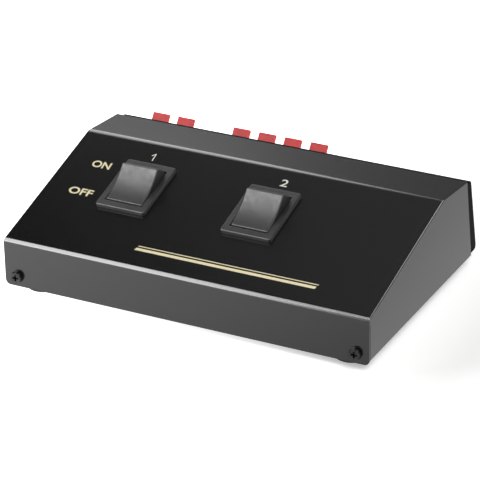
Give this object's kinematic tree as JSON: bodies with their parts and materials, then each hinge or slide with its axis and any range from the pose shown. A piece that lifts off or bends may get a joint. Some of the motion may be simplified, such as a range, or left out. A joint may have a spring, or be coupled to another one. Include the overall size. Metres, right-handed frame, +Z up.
{
  "type": "speaker selector switch",
  "caption": "Wedge-shaped desktop speaker selector: black folded-steel case with rocker switches on its slope and red and black spring-clip wire terminals on its rear panel.",
  "frame": {"origin": "on the desk, under the middle of the whole assembly (centre of the bounding box, at its base)", "axes": "+X along the box to the right as seen from the front, +Y from the front lip to the rear terminals, +Z up"},
  "size_m": [0.178, 0.1269, 0.0476],
  "materials": {
    "cover_paint": "black satin paint on steel, fine texture",
    "chassis_paint": "black semi-matt paint on steel",
    "black_screw": "black oxide steel",
    "zinc_screw": "bright zinc plate",
    "foot_rubber": "matt moulded rubber",
    "switch_body": "satin moulded nylon",
    "switch_rocker": "satin moulded plastic, fine grain",
    "plunger_nylon": "natural nylon",
    "spring_wire": "bright spring steel",
    "contact_brass": "rolled brass strip",
    "terminal_body": "satin moulded plastic",
    "phenolic_board": "brown paper laminate",
    "tinned_strip": "tinned strip",
    "lever_red": "glossy moulded plastic",
    "lever_black": "glossy moulded plastic",
    "wire_red": "PVC insulation",
    "wire_orange": "PVC insulation",
    "wire_black": "PVC insulation"
  },
  "bodies": {
    "case": {"cover": "cover_paint", "chassis": "chassis_paint", "front_screws": "black_screw", "rear_screws": "black_screw", "rubber_feet": "foot_rubber", "foot_screws": "zinc_screw", "switch_1_housing": "switch_body", "switch_1_common_blades": "contact_brass", "switch_1_on_blades": "contact_brass", "switch_2_housing": "switch_body", "switch_2_common_blades": "contact_brass", "switch_2_on_blades": "contact_brass", "input_terminal_housing": "terminal_body", "input_terminal_board": "phenolic_board", "input_contact_strips": "tinned_strip", "input_terminal_screws": "zinc_screw", "output_terminal_housing": "terminal_body", "output_terminal_board": "phenolic_board", "output_contact_strips": "tinned_strip", "output_terminal_screws": "zinc_screw", "input_lever_spring_1_red": "spring_wire", "input_lever_spring_1_black": "spring_wire", "input_lever_spring_2_red": "spring_wire", "input_lever_spring_2_black": "spring_wire", "output_lever_spring_1_red": "spring_wire", "output_lever_spring_1_black": "spring_wire", "output_lever_spring_2_red": "spring_wire", "output_lever_spring_2_black": "spring_wire", "output_lever_spring_3_red": "spring_wire", "output_lever_spring_3_black": "spring_wire", "output_lever_spring_4_red": "spring_wire", "output_lever_spring_4_black": "spring_wire", "input_wires": "wire_red", "link_wires": "wire_red", "output_1_wires": "wire_orange", "output_2_wires": "wire_orange", "return_wires": "wire_black"},
    "rocker_1": {"switch_1_rocker": "switch_rocker", "switch_1_plungers": "plunger_nylon", "switch_1_plunger_springs": "spring_wire"},
    "bridges_1": {"switch_1_contact_bridges": "contact_brass"},
    "rocker_2": {"switch_2_rocker": "switch_rocker", "switch_2_plungers": "plunger_nylon", "switch_2_plunger_springs": "spring_wire"},
    "bridges_2": {"switch_2_contact_bridges": "contact_brass"},
    "input_lever_1_red_body": {"input_lever_1_red": "lever_red"},
    "input_lever_1_black_body": {"input_lever_1_black": "lever_black"},
    "input_lever_2_red_body": {"input_lever_2_red": "lever_red"},
    "input_lever_2_black_body": {"input_lever_2_black": "lever_black"},
    "output_lever_1_red_body": {"output_lever_1_red": "lever_red"},
    "output_lever_1_black_body": {"output_lever_1_black": "lever_black"},
    "output_lever_2_red_body": {"output_lever_2_red": "lever_red"},
    "output_lever_2_black_body": {"output_lever_2_black": "lever_black"},
    "output_lever_3_red_body": {"output_lever_3_red": "lever_red"},
    "output_lever_3_black_body": {"output_lever_3_black": "lever_black"},
    "output_lever_4_red_body": {"output_lever_4_red": "lever_red"},
    "output_lever_4_black_body": {"output_lever_4_black": "lever_black"}
  },
  "joints": [
    {"name": "rocker_1_press", "type": "hinge", "parent": "case", "child": "rocker_1", "pos_m": [-0.0468, -0.01459, 0.03556], "axis": [-1, 0, 0], "range_deg": [0, 38.4]},
    {"name": "rocker_2_press", "type": "hinge", "parent": "case", "child": "rocker_2", "pos_m": [0.0156, -0.01459, 0.03556], "axis": [-1, 0, 0], "range_deg": [0, 38.4]},
    {"name": "bridges_1_rock", "type": "hinge", "parent": "case", "child": "bridges_1", "pos_m": [-0.0468, -0.01157, 0.02475], "axis": [1, 0, 0], "range_deg": [0, 14]},
    {"name": "bridges_2_rock", "type": "hinge", "parent": "case", "child": "bridges_2", "pos_m": [0.0156, -0.01157, 0.02475], "axis": [1, 0, 0], "range_deg": [0, 14]},
    {"name": "input_lever_1_red_press", "type": "hinge", "parent": "case", "child": "input_lever_1_red_body", "pos_m": [-0.07257, 0.04822, 0.03087], "axis": [1, 0, 0], "range_deg": [0, 15], "stiffness_Nm_per_rad": 0.2, "springref_deg": -14.32, "deforming": ["input_lever_spring_1_red"]},
    {"name": "input_lever_1_black_press", "type": "hinge", "parent": "case", "child": "input_lever_1_black_body", "pos_m": [-0.07257, 0.05141, 0.01519], "axis": [-1, 0, 0], "range_deg": [0, 15], "stiffness_Nm_per_rad": 0.2, "springref_deg": -14.32, "deforming": ["input_lever_spring_1_black"]},
    {"name": "input_lever_2_red_press", "type": "hinge", "parent": "case", "child": "input_lever_2_red_body", "pos_m": [-0.05931, 0.04822, 0.03087], "axis": [1, 0, 0], "range_deg": [0, 15], "stiffness_Nm_per_rad": 0.2, "springref_deg": -14.32, "deforming": ["input_lever_spring_2_red"]},
    {"name": "input_lever_2_black_press", "type": "hinge", "parent": "case", "child": "input_lever_2_black_body", "pos_m": [-0.05931, 0.05141, 0.01519], "axis": [-1, 0, 0], "range_deg": [0, 15], "stiffness_Nm_per_rad": 0.2, "springref_deg": -14.32, "deforming": ["input_lever_spring_2_black"]},
    {"name": "output_lever_1_red_press", "type": "hinge", "parent": "case", "child": "output_lever_1_red_body", "pos_m": [-0.03005, 0.04822, 0.03087], "axis": [1, 0, 0], "range_deg": [0, 15], "stiffness_Nm_per_rad": 0.2, "springref_deg": -14.32, "deforming": ["output_lever_spring_1_red"]},
    {"name": "output_lever_1_black_press", "type": "hinge", "parent": "case", "child": "output_lever_1_black_body", "pos_m": [-0.03005, 0.05141, 0.01519], "axis": [-1, 0, 0], "range_deg": [0, 15], "stiffness_Nm_per_rad": 0.2, "springref_deg": -14.32, "deforming": ["output_lever_spring_1_black"]},
    {"name": "output_lever_2_red_press", "type": "hinge", "parent": "case", "child": "output_lever_2_red_body", "pos_m": [-0.01679, 0.04822, 0.03087], "axis": [1, 0, 0], "range_deg": [0, 15], "stiffness_Nm_per_rad": 0.2, "springref_deg": -14.32, "deforming": ["output_lever_spring_2_red"]},
    {"name": "output_lever_2_black_press", "type": "hinge", "parent": "case", "child": "output_lever_2_black_body", "pos_m": [-0.01679, 0.05141, 0.01519], "axis": [-1, 0, 0], "range_deg": [0, 15], "stiffness_Nm_per_rad": 0.2, "springref_deg": -14.32, "deforming": ["output_lever_spring_2_black"]},
    {"name": "output_lever_3_red_press", "type": "hinge", "parent": "case", "child": "output_lever_3_red_body", "pos_m": [-0.00353, 0.04822, 0.03087], "axis": [1, 0, 0], "range_deg": [0, 15], "stiffness_Nm_per_rad": 0.2, "springref_deg": -14.32, "deforming": ["output_lever_spring_3_red"]},
    {"name": "output_lever_3_black_press", "type": "hinge", "parent": "case", "child": "output_lever_3_black_body", "pos_m": [-0.00353, 0.05141, 0.01519], "axis": [-1, 0, 0], "range_deg": [0, 15], "stiffness_Nm_per_rad": 0.2, "springref_deg": -14.32, "deforming": ["output_lever_spring_3_black"]},
    {"name": "output_lever_4_red_press", "type": "hinge", "parent": "case", "child": "output_lever_4_red_body", "pos_m": [0.00973, 0.04822, 0.03087], "axis": [1, 0, 0], "range_deg": [0, 15], "stiffness_Nm_per_rad": 0.2, "springref_deg": -14.32, "deforming": ["output_lever_spring_4_red"]},
    {"name": "output_lever_4_black_press", "type": "hinge", "parent": "case", "child": "output_lever_4_black_body", "pos_m": [0.00973, 0.05141, 0.01519], "axis": [-1, 0, 0], "range_deg": [0, 15], "stiffness_Nm_per_rad": 0.2, "springref_deg": -14.32, "deforming": ["output_lever_spring_4_black"]}
  ],
  "couplings": [
    {"joint": "bridges_1_rock", "follows": "rocker_1_press", "ratio": 0.36458},
    {"joint": "bridges_2_rock", "follows": "rocker_2_press", "ratio": 0.36458}
  ]
}
